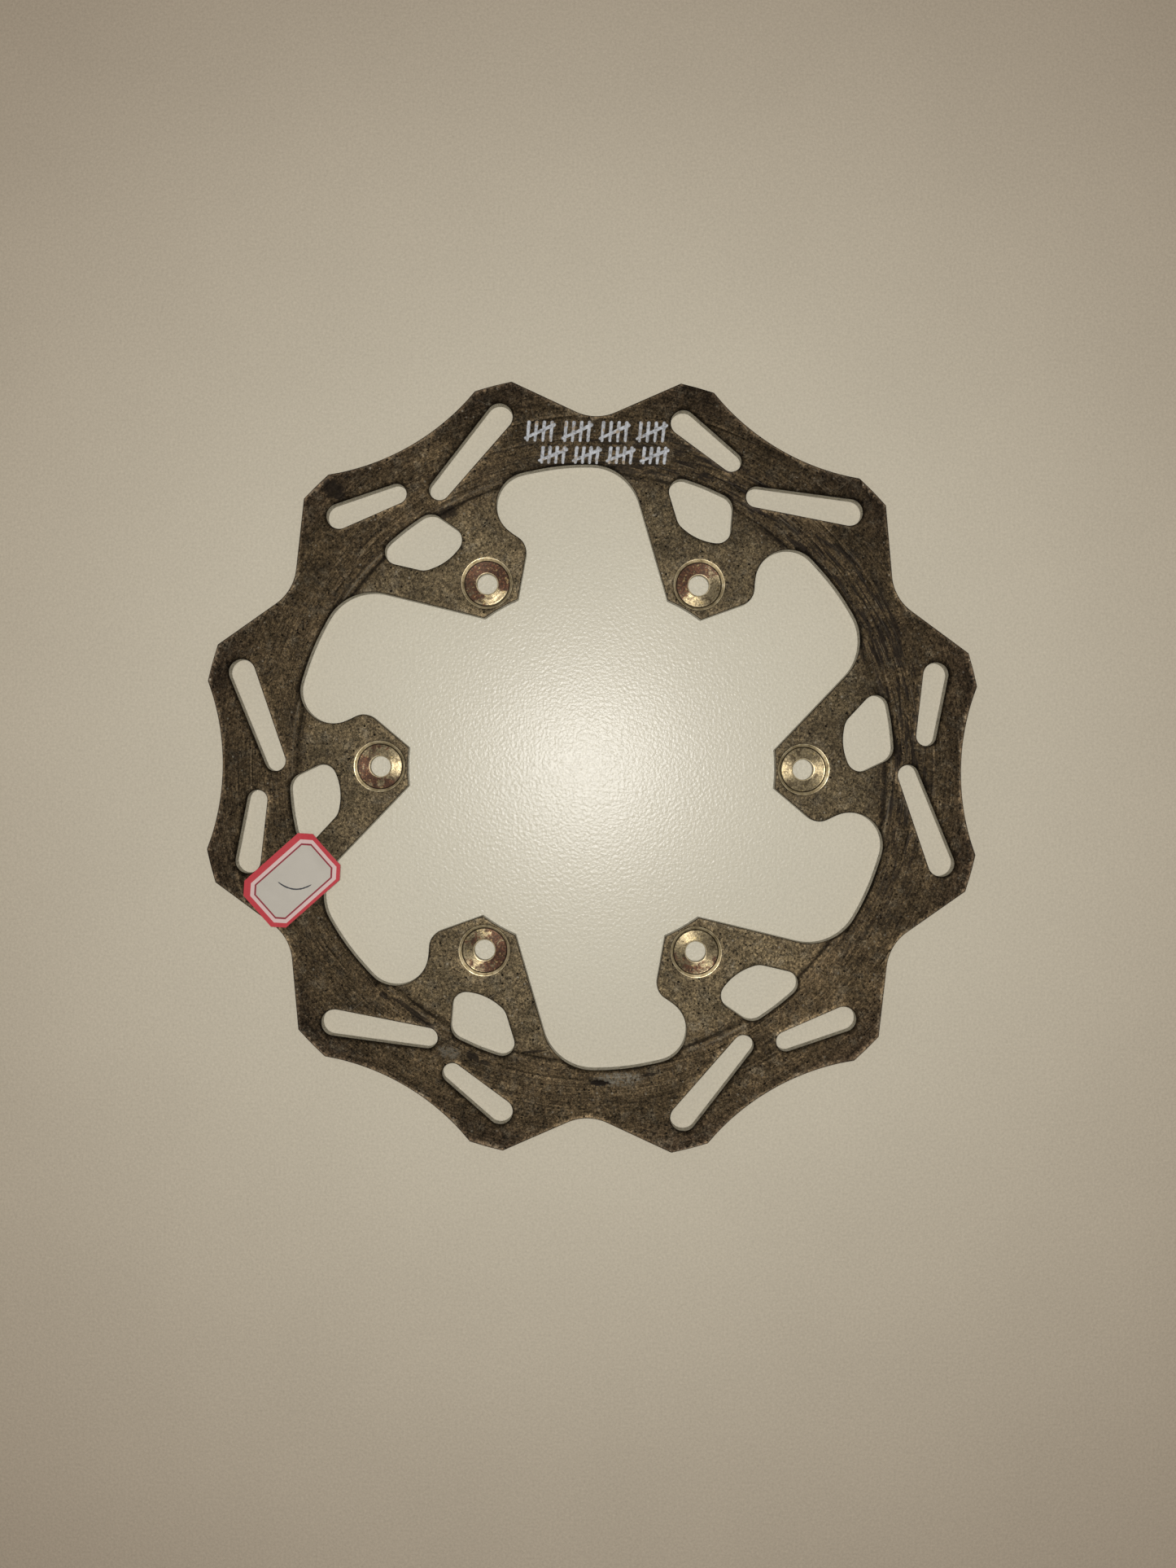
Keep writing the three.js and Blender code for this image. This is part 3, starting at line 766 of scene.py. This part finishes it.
def build_disc():
    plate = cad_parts["rotor_plate"]
    sheet = Sheet()
    front_rings, back_rings, outlines = [], [], []
    rounding = [(EDGE_ROUNDING * (1 - math.sin(a)), EDGE_ROUNDING * (1 - math.cos(a)))
                for a in np.radians((0, 30, 60, 90))]
    for number, outline in enumerate(flat_face_outlines(plate, THICKNESS)):
        middle = outline.mean(0)
        if np.ptp(np.linalg.norm(outline - middle, axis=1)) < 0.3 and np.linalg.norm(middle) > 60 \
                and np.linalg.norm(middle) < 72:
            continue  # a bolt recess, which is turned separately
        places, normals = curved_outline(outline, 0.8)
        outlines.append(outline)
        rings = []
        levels = [(inset, THICKNESS - drop) for inset, drop in rounding]
        levels += [("rough", 2.6), ("rough", 1.3)]
        levels += [(inset, drop) for inset, drop in reversed(rounding)]
        for inset, height in levels:
            if inset == "rough":
                depths = [0.02 + 0.03 * noise.noise((x * 0.5, y * 0.5, height)) for x, y in places]
                flat = places - normals * np.array(depths)[:, None]
            else:
                flat = places - normals * inset
            rings.append(sheet.add([(x, y, height) for x, y in flat]))
        for ring, surface in ((rings[0], front_height), (rings[-1], back_height)):
            for index in ring:
                x, y, _ = sheet.places[index]
                sheet.places[index] = (x, y, surface(x, y))
        for step, (upper, lower) in enumerate(zip(rings, rings[1:])):
            sheet.strip(upper, lower, 0 if step < 3 else 2 if step < 6 else 1)
        front_rings.append(rings[0])
        back_rings.append(rings[-1])

    local, rust, turning = {}, {}, {}
    count = 72
    profile = [(7.95, None, 0), (7.84, 3.96, 4), (7.76, 3.84, 4), (7.45, 3.40, 4), (7.14, 2.86, 4),
               (7.04, 2.66, 3), (6.90, 2.54, 3), (6.72, 2.50, 3)]
    profile += [(6.5 - 0.25 * i, 2.50 + (0.012 if i % 2 else -0.010), 3) for i in range(13)]
    profile += [(3.38, 2.47, 4), (3.28, 2.40, 4), (3.2, 2.26, 4), (3.2, 1.2, 2), (3.2, 0.22, 2), (3.27, 0.07, 2),
                (3.42, None, 2)]
    for k in range(TABS):
        angle = k * math.pi / 3
        centre = np.array([BOLT_CIRCLE * math.cos(angle), BOLT_CIRCLE * math.sin(angle)])
        rings = []
        for number, (radius, height, _) in enumerate(profile):
            ring = circle(centre, radius, count)
            if 2.6 < radius < 3.5 and height is not None:
                ring = centre + (ring - centre) * np.array(
                    [1 + 0.008 * noise.noise((x * 0.9, y * 0.9, 5.0)) for x, y in ring])[:, None]
            surface = front_height if number == 0 else back_height
            points = [(x, y, surface(x, y) if height is None else height) for x, y in ring]
            rings.append(sheet.add(points))
            for index, (x, y) in zip(rings[-1], ring - centre):
                out = x * math.cos(angle) + y * math.sin(angle)
                side = y * math.cos(angle) - x * math.sin(angle)
                local[index] = (out, side, 7.0 * k)
                turning[index] = (x / math.hypot(x, y), y / math.hypot(x, y), 0.0)
                rust[index] = recess_rust(k, math.atan2(side, out))
        for number, (upper, lower) in enumerate(zip(rings, rings[1:])):
            sheet.strip(upper[::-1], lower[::-1], profile[number + 1][2])
        front_rings.append(rings[0][::-1])
        back_rings.append(rings[-1][::-1])
        outlines.append(circle(centre, 7.95, 48)[::-1])

    edges = np.array([sheet.places[i][:2] for ring in front_rings for i in ring])
    points = ring_points(57.0, 122.6, 1.1, BAND_RADIUS, 0.35)
    points = points[inside(points, outlines)]
    points = clear_of(points, edges, 0.55)
    creases = []
    for score in FRONT_SCORES:
        for side in (-1, 0, 1):
            line = np.array(score_line(score, side))
            good = inside(line, outlines)
            creases += unbroken(line, good & clear_mask(line, edges, 0.6))
    crease_points = np.concatenate(creases)
    points = clear_of(points, crease_points, 0.35)
    sheet.fill(front_rings, points, front_height, 0, True, creases)

    edges = np.array([sheet.places[i][:2] for ring in back_rings for i in ring])
    back_outlines = outlines[:-TABS] + [circle((BOLT_CIRCLE * math.cos(k * math.pi / 3),
                                                BOLT_CIRCLE * math.sin(k * math.pi / 3)), 3.42, 24)
                                        for k in range(TABS)]
    points = ring_points(57.4, 122.6, 1.5, BAND_RADIUS, 0.5)
    points = points[inside(points, back_outlines)]
    points = clear_of(points, edges, 0.7)
    creases = []
    for score in BACK_SCORES:
        for side in (-1, 0, 1):
            line = np.array(score_line(score, side))
            good = inside(line, back_outlines) & clear_mask(line, edges, 0.6)
            creases += unbroken(line, good)
    points = clear_of(points, np.concatenate(creases), 0.45)
    sheet.fill(back_rings, points, back_height, 1, False, creases)

    piece = sheet.make("disc", [worn_steel("worn_steel_front", 3.0), worn_steel("worn_steel_back", 23.0, False),
                                cut_edge(), recess_floor(), recess_wall()])
    size = len(piece.data.vertices)
    place_values = np.zeros((size, 3), np.float32)
    turning_values = np.tile(np.array([1, 0, 0], np.float32), (size, 1))
    rust_values = np.zeros(size, np.float32)
    for index in local:
        place_values[index] = local[index]
        turning_values[index] = turning[index]
        rust_values[index] = rust[index]
    data = piece.data.attributes
    data.new("recess_place", "FLOAT_VECTOR", "POINT").data.foreach_set("vector", place_values.ravel())
    data.new("across_turning", "FLOAT_VECTOR", "POINT").data.foreach_set("vector", turning_values.ravel())
    data.new("recess_rust", "FLOAT", "POINT").data.foreach_set("value", rust_values)
    cut_rings = [ring for ring in front_rings[:-TABS] + back_rings[:-TABS]]
    for attribute, edge_rings in (("from_edge", cut_rings), ("from_recess", front_rings[-TABS:])):
        tree = kdtree.KDTree(sum(len(ring) for ring in edge_rings))
        for index in (i for ring in edge_rings for i in ring):
            tree.insert((*sheet.places[index][:2], 0), index)
        tree.balance()
        away = np.array([min(3.0, tree.find((x, y, 0))[2]) for x, y, _ in sheet.places], np.float32)
        data.new(attribute, "FLOAT", "POINT").data.foreach_set("value", away)
    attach(piece, "root")
    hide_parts("rotor_plate")
    return piece


def clear_mask(points, edges, gap):
    tree = kdtree.KDTree(len(edges))
    for i, (x, y) in enumerate(edges):
        tree.insert((x, y, 0), i)
    tree.balance()
    return np.array([tree.find((x, y, 0))[2] > gap for x, y in points], bool)


def unbroken(line, good):
    """The runs of at least three good points."""
    runs, run = [], []
    for point, fine in zip(line.tolist(), good):
        if fine:
            run.append(point)
        elif run:
            runs.append(run)
            run = []
    runs.append(run)
    return [r for r in runs if len(r) >= 3]


# ---- The label ----

LABEL_CENTRE = (-93.0, -35.7)
LABEL_SIZE = (29.0, 19.5)
LABEL_ANGLE = math.radians(42.0)
LABEL_CUT = 3.3
# Printed bands from the edge inwards: left, right, bottom and top width of each
LABEL_BANDS = [(1.55, 1.30, 0.95, 1.95), (1.10, 1.10, 1.10, 1.10), (0.50, 0.50, 0.50, 0.50)]


def label_outline(insets, cut):
    left, right, bottom, top = insets
    x0, x1 = -LABEL_SIZE[0] / 2 + left, LABEL_SIZE[0] / 2 - right
    y0, y1 = -LABEL_SIZE[1] / 2 + bottom, LABEL_SIZE[1] / 2 - top
    corners = [(x0 + cut, y0), (x1 - cut, y0), (x1, y0 + cut), (x1, y1 - cut),
               (x1 - cut, y1), (x0 + cut, y1), (x0, y1 - cut), (x0, y0 + cut)]
    return resampled(corners, 0.5)


def resampled(corners, spacing):
    points = []
    for (xa, ya), (xb, yb) in zip(corners, corners[1:] + corners[:1]):
        steps = max(1, round(math.hypot(xb - xa, yb - ya) / spacing))
        points += [(xa + (xb - xa) * i / steps, ya + (yb - ya) * i / steps) for i in range(steps)]
    return np.array(points)


def label_to_disc(u, v):
    return (LABEL_CENTRE[0] + u * math.cos(LABEL_ANGLE) - v * math.sin(LABEL_ANGLE),
            LABEL_CENTRE[1] + u * math.sin(LABEL_ANGLE) + v * math.cos(LABEL_ANGLE))


def label_lift(u, v):
    """Height of the label's underside above the face: creased, and lifted at its free right tip."""
    ripple = 0.03 * (noise.noise((u * 0.22, v * 0.22, 8.0)) + 1)
    tip = 0.55 * smoothstep(9.0, 14.5, u - 0.25 * v) * smoothstep(-9.0, -2.0, v)
    crease = 0.10 * math.exp(-((u - 12.6 + 0.2 * v) / 0.35) ** 2)
    edge = 0.12 * smoothstep(8.6, 9.7, -v) * smoothstep(2.0, 12.0, u)
    return ripple + tip + crease + edge


def build_label():
    thickness = 0.11
    sheet = Sheet()
    insets = [(0.0, 0.0, 0.0, 0.0)]
    for band in LABEL_BANDS:
        insets.append(tuple(a + b for a, b in zip(insets[-1], band)))
    cuts = [LABEL_CUT, LABEL_CUT - 0.55, LABEL_CUT - 1.05, LABEL_CUT - 1.25]
    loops = [label_outline(inset, cut) for inset, cut in zip(insets, cuts)]
    loops[0] = loops[0] + np.array([[0.05 * noise.noise((x, y, 3.0)), 0.05 * noise.noise((x, y, 9.0))]
                                    for x, y in loops[0]])

    def top(u, v):
        return THICKNESS - 0.02 + label_lift(u, v) + thickness

    rings = [sheet.add([(u, v, top(u, v)) for u, v in loop]) for loop in loops]
    for slot in range(3):
        grid = []
        sheet.fill([rings[slot], rings[slot + 1][::-1]], grid, top, slot, True)
    us, vs = np.meshgrid(np.arange(-14, 14.01, 0.6), np.arange(-9, 9.01, 0.6))
    grid = np.c_[us.ravel(), vs.ravel()]
    inner = np.array(loops[3])
    grid = grid[inside(grid, [inner])]
    grid = clear_of(grid, inner, 0.3)
    sheet.fill([rings[3]], grid, top, 3, True)
    under = sheet.add([(u, v, top(u, v) - thickness) for u, v in loops[0]])
    sheet.strip(rings[0], under, 3)
    grid = np.c_[us.ravel(), vs.ravel()]
    grid = grid[inside(grid, [loops[0]])]
    grid = clear_of(grid, loops[0], 0.3)
    sheet.fill([under], grid, lambda u, v: top(u, v) - thickness, 3, False)
    sheet.places = [(*label_to_disc(u, v), z) for u, v, z in sheet.places]
    piece = sheet.make("label", [
        printed_paper("label_red", (0.52, 0.040, 0.052), 0.30, 0.35, 70),
        printed_paper("label_gap", (0.68, 0.50, 0.47), 0.12, 0.30, 73),
        printed_paper("label_line", (0.27, 0.028, 0.040), 0.25, 0.30, 76),
        printed_paper("label_paper", (0.523, 0.482, 0.415), 0.10, 0.45, 79),
    ])
    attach(piece, "root")
    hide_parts("price_label")
    return top


def build_pen_line(top):
    """A plain, slightly bowed line of ink across the label."""
    sheet = Sheet()
    left, right = [], []
    steps = 40
    for i in range(steps + 1):
        t = i / steps
        u = -3.6 + 7.3 * t - 5.2 * t * (1 - t)
        v = 2.6 - 7.6 * t - 5.4 * t * (1 - t) + 0.04 * noise.noise((u, 0.0, 4.0))
        along = Vector((7.3 - 5.2 * (1 - 2 * t), -7.6 - 5.4 * (1 - 2 * t))).normalized()
        half = 0.22 * math.sqrt(max(0.0, 1 - abs(2 * t - 1) ** 6)) * (1 + 0.3 * noise.noise((u * 2, 1.0, 4.0))) + 0.01
        for side, row in ((half, left), (-half, right)):
            place = (u - along.y * side, v + along.x * side)
            row.append((*place, top(*place) + 0.012))
    middle = [((a[0] + b[0]) / 2, (a[1] + b[1]) / 2, a[2] + 0.018) for a, b in zip(left, right)]
    low_left = [(a[0], a[1], a[2] - 0.02) for a in left]
    low_right = [(b[0], b[1], b[2] - 0.02) for b in right]
    rows = [sheet.add(r) for r in (low_left, left, middle, right, low_right)]
    for upper, lower in zip(rows, rows[1:]):
        for i in range(steps):
            sheet.face((upper[i], lower[i], lower[i + 1], upper[i + 1]))
    for i in range(steps):
        sheet.face((rows[4][i], rows[0][i], rows[0][i + 1], rows[4][i + 1]))
    for end, flip in ((0, False), (steps, True)):
        ring = [rows[k][end] for k in (4, 3, 2, 1, 0)]
        sheet.face(ring[::-1] if flip else ring)
    sheet.places = [(*label_to_disc(u, v), z) for u, v, z in sheet.places]
    piece = sheet.make("pen_line", [pen_ink()])
    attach(piece, "root")


# ---- The marker paint ----

def build_tally(node_name, paint, seed):
    """The four uprights and cross stroke of one tally, as a thin film with hand-drawn edges."""
    outlines = flat_face_outlines(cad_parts[node_name], THICKNESS + 0.1)
    outlines = [curved_outline(o, 0.22) for o in outlines]
    sheet = Sheet()
    tops, feet, loops = [], [], []
    for places, normals in outlines:
        wobble = np.array([0.11 * noise.noise((x * 1.1, y * 1.1, seed)) + 0.05 * noise.noise((x * 3, y * 3, seed))
                           for x, y in places])
        loop = places + normals * wobble[:, None]
        loops.append(loop)
        feet.append((loop, sheet.add([(x, y, front_height(x, y) + 0.004) for x, y in loop])))
        tops.append(sheet.add([(x, y, front_height(x, y) + 0.03) for x, y in loop - normals * 0.05]))
    edges = np.concatenate(loops)
    tree = kdtree.KDTree(len(edges))
    for i, (x, y) in enumerate(edges):
        tree.insert((x, y, 0), i)
    tree.balance()

    def film(x, y):
        away = min(1.0, tree.find((x, y, 0))[2] / 0.55)
        thick = 0.03 + 0.055 * math.sqrt(away) * (1 + 0.45 * noise.noise((x * 1.3, y * 1.3, seed + 3)))
        return front_height(x, y) + thick

    low, high = edges.min(0), edges.max(0)
    xs, ys = np.meshgrid(np.arange(low[0], high[0], 0.22), np.arange(low[1], high[1], 0.22))
    grid = np.c_[xs.ravel(), ys.ravel()]
    grid = grid[inside(grid, loops)]
    grid = clear_of(grid, edges, 0.16)
    for (_, foot), top in zip(feet, tops):
        sheet.strip(top, foot)
    sheet.fill(tops, grid, film, 0, True)
    sheet.fill([foot for _, foot in feet], [], film, 0, False)
    piece = sheet.make(node_name + "_paint", [paint], 60)
    body = np.array([min(1.0, tree.find((x, y, 0))[2] / 0.5) for x, y, _ in sheet.places], np.float32)
    piece.data.attributes.new("paint_body", "FLOAT", "POINT").data.foreach_set("value", body)
    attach(piece, "root")
    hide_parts(node_name)


build_disc()
label_top = build_label()
build_pen_line(label_top)
paint = marker_paint()
tally_nodes = sorted(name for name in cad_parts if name.startswith("tally_mark"))
for number, name in enumerate(tally_nodes):
    build_tally(name, paint, 10.0 + number)


# ---- Floor, light and camera ----

def build_floor():
    sheet = Sheet()
    steps = 24
    half = 2500.0
    rows = []
    for j in range(steps + 1):
        y = -half + 2 * half * j / steps
        rows.append(sheet.add([(-half + 2 * half * i / steps, y, -0.03) for i in range(steps + 1)]))
    for lower, upper in zip(rows, rows[1:]):
        for i in range(steps):
            sheet.face((lower[i], lower[i + 1], upper[i + 1], upper[i]))
    floor = sheet.make("floor", [painted_floor()])


build_floor()


def area_light(name, place, power, size, colour, aim=(0, 0, 0)):
    data = bpy.data.lights.new(name, "AREA")
    data.shape = "DISK"
    data.size = size
    data.energy = power
    data.color = colour
    light = bpy.data.objects.new(name, data)
    light.location = place
    light.rotation_euler = (Vector(aim) - Vector(place)).to_track_quat("-Z", "Y").to_euler()
    bpy.context.scene.collection.objects.link(light)


area_light("near_light", (-0.002, 0.0054, 0.44), 1.46, 0.045, (1.0, 0.99, 0.97))
area_light("overhead_light", (0.0, 0.0, 1.5), 0.8, 1.3, (1.0, 0.98, 0.95))

world = bpy.data.worlds.new("studio")
world.use_nodes = True
world.node_tree.nodes["Background"].inputs["Color"].default_value = (1.0, 0.975, 0.93, 1)
world.node_tree.nodes["Background"].inputs["Strength"].default_value = 0.11
bpy.context.scene.world = world

bpy.context.scene.view_settings.view_transform = "Standard"

camera_data = bpy.data.cameras.new("camera")
camera_data.sensor_fit = "AUTO"
camera_data.sensor_width = 36.0
camera_data.lens = 29.16
camera_data.clip_start = 0.01
camera = bpy.data.objects.new("camera", camera_data)
camera.location = (-0.00027, -0.00224, 0.399)
camera.rotation_euler = (math.radians(-0.40), math.radians(0.12), math.radians(0.44))
bpy.context.scene.collection.objects.link(camera)
bpy.context.scene.camera = camera
